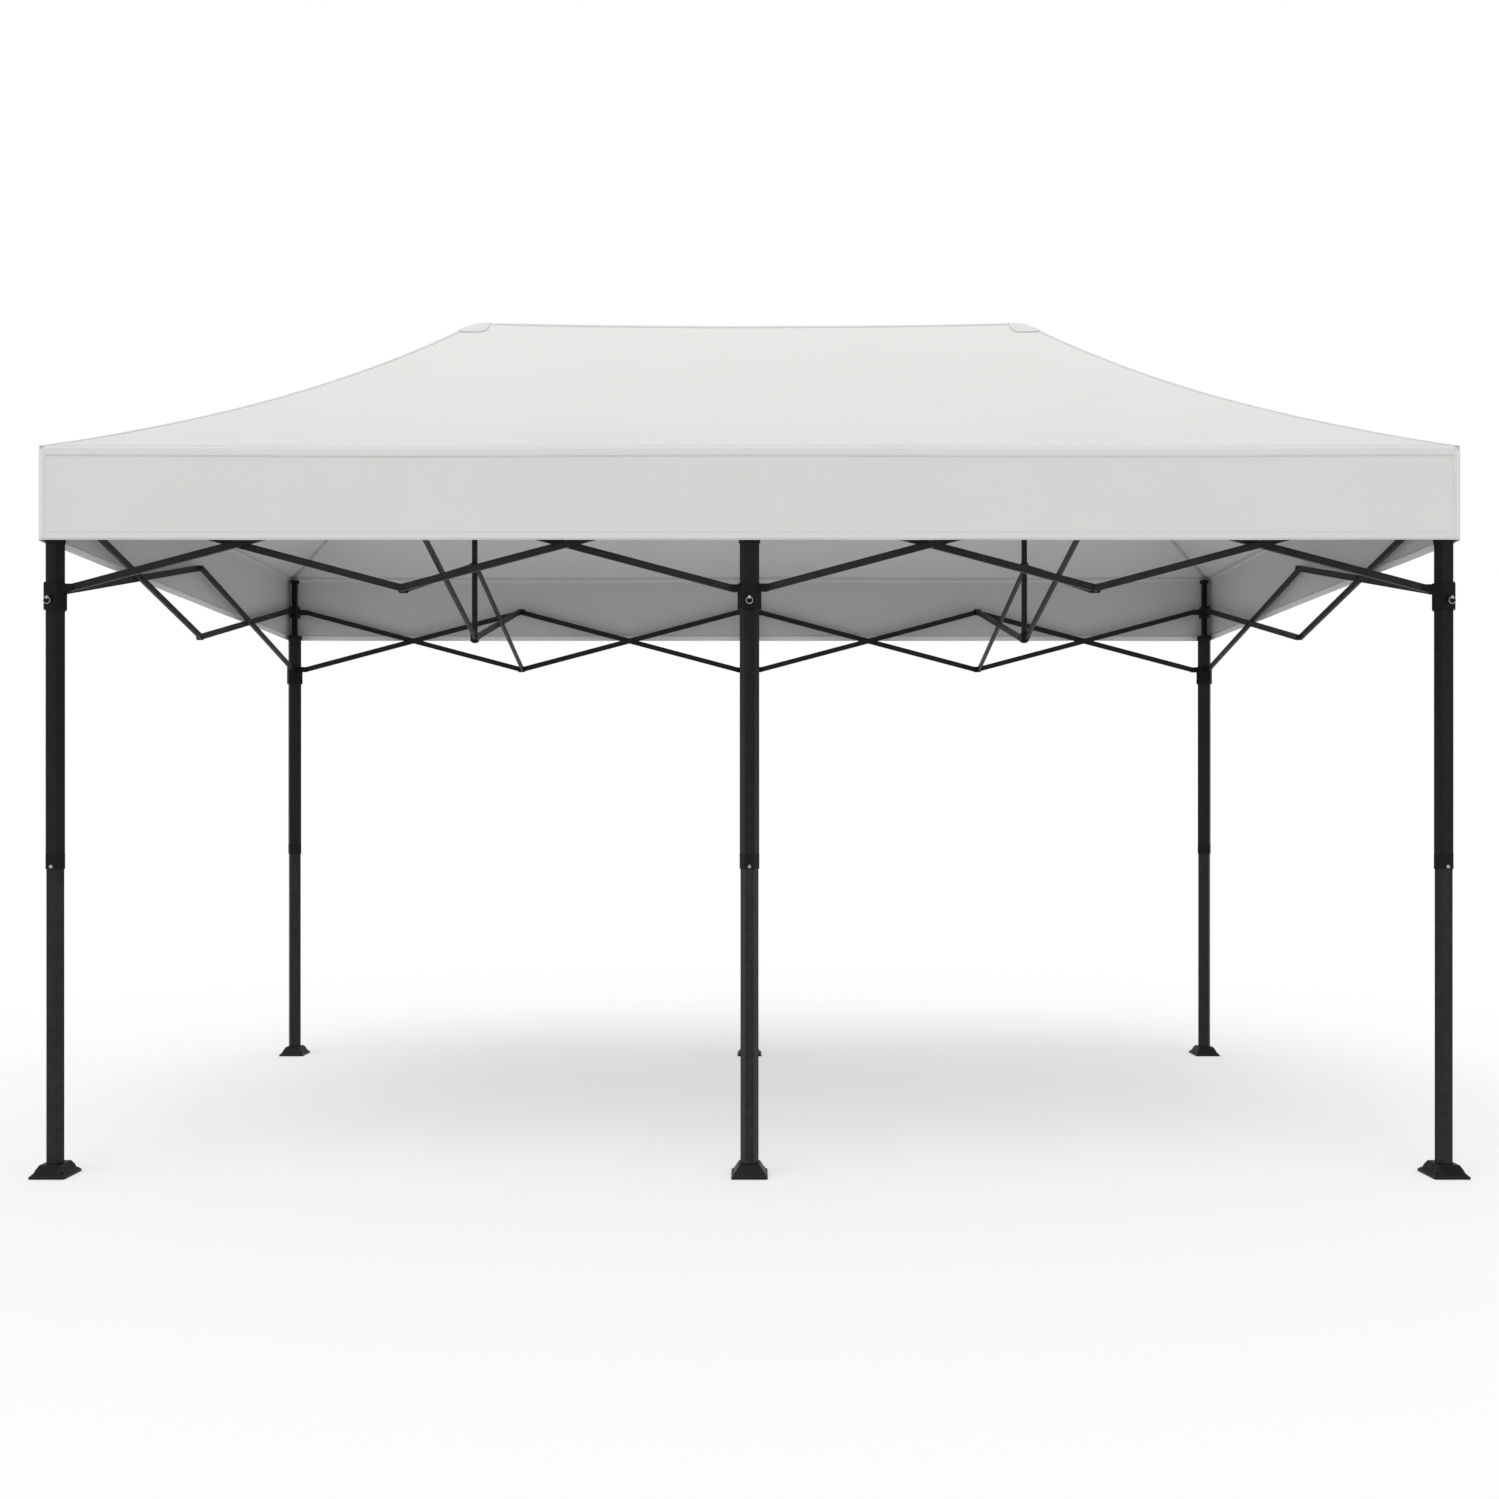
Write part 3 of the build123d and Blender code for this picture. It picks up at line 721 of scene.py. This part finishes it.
# A cross truss's bracket: a plate with two cheeks round the bar's end and a rivet through both.
EAR_REACH = 0.032
PLATE_REACH = 0.0150
PLATE_SIZE = (0.036, 0.004, 0.030)
CHEEK_SIZE = (0.0035, 0.030, 0.026)
CHEEK_SIDES = (0.01465, -0.00165)
CHEEK_BACK = 0.002
RIVET_SIDE = 0.0065
BLOCK_EDGE = 0.0012


def hex_bolt(name, centre, axis, size=0.0065, tall=0.005, material=ZINC):
    """A bolt head with a washer, standing on a face."""
    washer = turned(name + "_washer", [(size * 1.55, 0.0), (size * 1.55, 0.0010), (size * 1.45, 0.0013)],
                    centre, axis, material, 24)
    head = turned(name, [(size * 1.05, 0.0013), (size * 1.05, tall), (size * 0.92, tall + 0.0007)],
                  centre, axis, material, 6)
    head.data.polygons.foreach_set("use_smooth", [False] * len(head.data.polygons))
    return joined(name, [head, washer])


def pull_ring(name, centre, axis):
    """A slider's spring latch: a boss, a plunger and its ring."""
    boss = turned(name + "_boss", LATCH_BOSS, centre, axis, NYLON, 28)
    plunger = turned(name + "_plunger", LATCH_PLUNGER, centre, axis, ZINC, 24)
    ring_centre = centre + axis * RING_OUT - Z * RING_DROP
    points, faces, uvs = [], [], []
    for i in range(RING_STEPS):
        turn = 2 * math.pi * i / RING_STEPS
        radial = axis.cross(Z) * math.cos(turn) + Z * math.sin(turn)
        here, there = i * WIRE_STEPS, (i + 1) % RING_STEPS * WIRE_STEPS
        for k in range(WIRE_STEPS):
            roll = 2 * math.pi * k / WIRE_STEPS
            reach = RING_RADIUS + RING_WIRE * math.cos(roll)
            points.append(ring_centre + radial * reach + axis * RING_WIRE * math.sin(roll))
            uvs.append((turn, roll))
            following = (k + 1) % WIRE_STEPS
            faces.append((here + k, here + following, there + following, there + k))
    ring = mesh_object(name + "_ring", points, faces, uvs, [ZINC])
    return joined(name, [boss, plunger, ring])


def build_leg_fittings():
    """Latches, snap buttons, end sleeves and bolts on each leg."""
    for tag, x, y in LEGS:
        out = Vector((0, -1 if y < 0 else 1, 0))
        leg, slider = f"leg_{tag}", f"slider_{tag}"
        leg_base, slider_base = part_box(leg)[0][2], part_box(slider)[0][2]
        slider_face = Vector((x, y, 0)) + out * SLIDER_FACE
        latch = pull_ring(f"slider_latch_{tag}", slider_face + Z * (slider_base + LATCH_RISE), out)
        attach(latch, slider)
        leg_face = Vector((x, y, 0)) + out * LEG_FACE
        collar = leg_sleeve(f"leg_collar_{tag}", x, y, leg_base, leg_base + SLEEVE_TALL)
        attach(collar, leg)
        button = turned(f"height_button_{tag}", HEIGHT_BUTTON,
                        leg_face + out * BUTTON_PROUD + Z * (leg_base + BUTTON_RISE), out, ZINC, 28)
        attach(button, leg)
        for number, height in enumerate((UPPER_Z - BOLT_SPREAD, UPPER_Z + BOLT_SPREAD), 1):
            bolt = hex_bolt(f"bracket_bolt_{tag}_{number}", Vector((x, y, height)) + out * UPRIGHT_FACE,
                            out)
            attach(bolt, leg)


def leg_sleeve(name, x, y, low, high):
    """A thin moulded hexagonal sleeve round a leg's lower end."""
    rings = [(SLEEVE_INNER, low), (SLEEVE_OUTER, low), (SLEEVE_OUTER, high - SLEEVE_RIM),
             (SLEEVE_INNER, high)]
    points, uvs, faces = [], [], []
    for flat, z in rings:
        for k in range(6):
            turn = math.pi / 3 * k
            radius = flat / math.cos(math.pi / 6)
            points.append(Vector((x + radius * math.cos(turn), y + radius * math.sin(turn), z)))
            uvs.append((k * 0.03, z))
    for r in range(len(rings)):
        for k in range(6):
            a, b = r * 6 + k, r * 6 + (k + 1) % 6
            above = (r + 1) % len(rings) * 6
            c, d = above + (k + 1) % 6, above + k
            faces.append((a, b, c, d))
    return mesh_object(name, points, faces, uvs, [NYLON], smooth=False)


def build_truss_brackets():
    """Angle brackets where the cross trusses meet the long trusses, at the pins the model leaves open.
    They ride the cross trusses' bars, so they turn with them as the frame folds.
    """
    places = []
    for end, sign in (("left", -1), ("right", 1)):
        x = sign * MAST_X
        places.append(("front_upper", end, "bar_1_falling", x, -LEG_Y, UPPER_Z, 1))
        places.append(("back_upper", end, "bar_2_rising", x, LEG_Y, UPPER_Z, -1))
        places.append(("back_lower", end, "bar_2_falling", x, LEG_Y, LOWER_Z, -1))
    for pin, end, bar, x, y, z, inward in places:
        name = f"mid_bracket_{pin}_{end}"
        body = f"cross_{end}_{bar}"
        plate = rounded_block(name + "_plate", (x, y + inward * PLATE_REACH, z), PLATE_SIZE, NYLON,
                              BLOCK_EDGE)
        bar_side = 1 if body.endswith("falling") else -1
        cheeks = []
        for number, depth in enumerate(CHEEK_SIDES, 1):
            place = (x + bar_side * depth, y + inward * (EAR_REACH - CHEEK_BACK), z)
            cheeks.append(rounded_block(f"{name}_cheek_{number}", place, CHEEK_SIZE, NYLON, BLOCK_EDGE))
        rivet = turned(name + "_rivet", BRACKET_RIVET,
                       Vector((x + bar_side * RIVET_SIDE, y + inward * EAR_REACH, z)), X, NYLON, 24)
        bracket = joined(name, [plate, *cheeks, rivet])
        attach(bracket, body)


def paint_frame():
    """Finishes for the CAD pieces that show."""
    looks = {"black_powder_coat": POWDER, "black_bar": BAR_COAT, "black_nylon": NYLON}
    for entry in frame["record"]["subparts"]:
        finish = looks.get(entry["material_slot"])
        if finish is None:
            continue
        node = frame["nodes"][entry["node"]]
        for place in range(len(node.material_slots)):
            node.material_slots[place].material = finish


# ---------------------------------------------------------------- the stage
CAMERA_PLACE = (0.0, -5.90, 1.24)
CAMERA_LENS = 31.65
CAMERA_SHIFT = 0.0504

FLOOR_HALF = 120.0
FLOOR_Z = -0.0005
GLOW_NEAR, GLOW_FAR = 0.35, 1.0        # the floor's emissive share, near the canopy and far away
GLOW_START, GLOW_END = 4.0, 11.0

SKY_LOW, SKY_HIGH = 0.46, 1.00
KEY_STRENGTH = 0.85
KEY_SPREAD = 45
KEY_TILT, KEY_TURN = 24, -18


def build_camera():
    """A level camera in front of the canopy at chest height."""
    camera = bpy.data.objects.new("camera", bpy.data.cameras.new("camera"))
    camera.data.sensor_width = 36.0
    camera.data.lens = CAMERA_LENS
    camera.data.shift_y = CAMERA_SHIFT
    camera.data.clip_end = 200.0
    camera.location = CAMERA_PLACE
    camera.rotation_euler = (math.radians(90), 0, 0)
    bpy.context.scene.collection.objects.link(camera)
    bpy.context.scene.camera = camera


def build_floor():
    """A pale, partly emissive floor that fades to plain white far away, so that no horizon shows."""
    material, tree = new_material("pale_floor")
    place = add_node(tree, "ShaderNodeNewGeometry")
    length = add_node(tree, "ShaderNodeVectorMath", {0: place.outputs["Position"]}, operation="LENGTH")
    fade = add_node(tree, "ShaderNodeMapRange",
                    {"Value": length.outputs["Value"], "From Min": GLOW_START, "From Max": GLOW_END,
                     "To Min": GLOW_NEAR, "To Max": GLOW_FAR}, interpolation_type="SMOOTHSTEP")
    matt = add_node(tree, "ShaderNodeBsdfPrincipled",
                    {"Base Color": (0.93, 0.93, 0.93, 1), "Roughness": 0.9, "Specular IOR Level": 0.1})
    white = add_node(tree, "ShaderNodeEmission", {"Color": (1, 1, 1, 1), "Strength": 1.0})
    mix = add_node(tree, "ShaderNodeMixShader",
                   {0: fade.outputs[0], 1: matt.outputs[0], 2: white.outputs[0]})
    add_node(tree, "ShaderNodeOutputMaterial", {"Surface": mix.outputs[0]})
    square = [(0, 0), (1, 0), (1, 1), (0, 1)]
    corners = [((2 * u - 1) * FLOOR_HALF, (2 * v - 1) * FLOOR_HALF, FLOOR_Z) for u, v in square]
    floor = mesh_object("floor", corners, [(0, 1, 2, 3)], square, [material], smooth=False)


def build_light():
    """Soft studio light: an even white surround, brighter above, and a broad key from the front left."""
    scene = bpy.context.scene
    world = bpy.data.worlds.new("studio")
    scene.world = world
    world.use_nodes = True
    tree = world.node_tree
    tree.nodes.clear()
    place = add_node(tree, "ShaderNodeTexCoord")
    split = add_node(tree, "ShaderNodeSeparateXYZ", {0: place.outputs["Generated"]})
    sky = add_node(tree, "ShaderNodeMapRange",
                   {"Value": split.outputs[2], "From Min": -0.1, "From Max": 1.0,
                    "To Min": SKY_LOW, "To Max": SKY_HIGH})
    seen = add_node(tree, "ShaderNodeLightPath")
    strength = add_node(tree, "ShaderNodeMix", {0: seen.outputs["Is Camera Ray"], 2: sky.outputs[0], 3: 1.0},
                        data_type="FLOAT")
    back = add_node(tree, "ShaderNodeBackground", {"Color": (1, 1, 1, 1), "Strength": strength.outputs[0]})
    add_node(tree, "ShaderNodeOutputWorld", {"Surface": back.outputs[0]})
    key = bpy.data.objects.new("key", bpy.data.lights.new("key", "SUN"))
    key.data.energy = KEY_STRENGTH
    key.data.angle = math.radians(KEY_SPREAD)
    key.rotation_euler = (math.radians(KEY_TILT), 0, math.radians(KEY_TURN))
    scene.collection.objects.link(key)
    scene.view_settings.view_transform = "Standard"
    scene.view_settings.look = "None"


build_camera()
build_light()
build_floor()
build_cover()
build_seams()
build_peak_patches()
build_leg_fittings()
build_truss_brackets()
paint_frame()
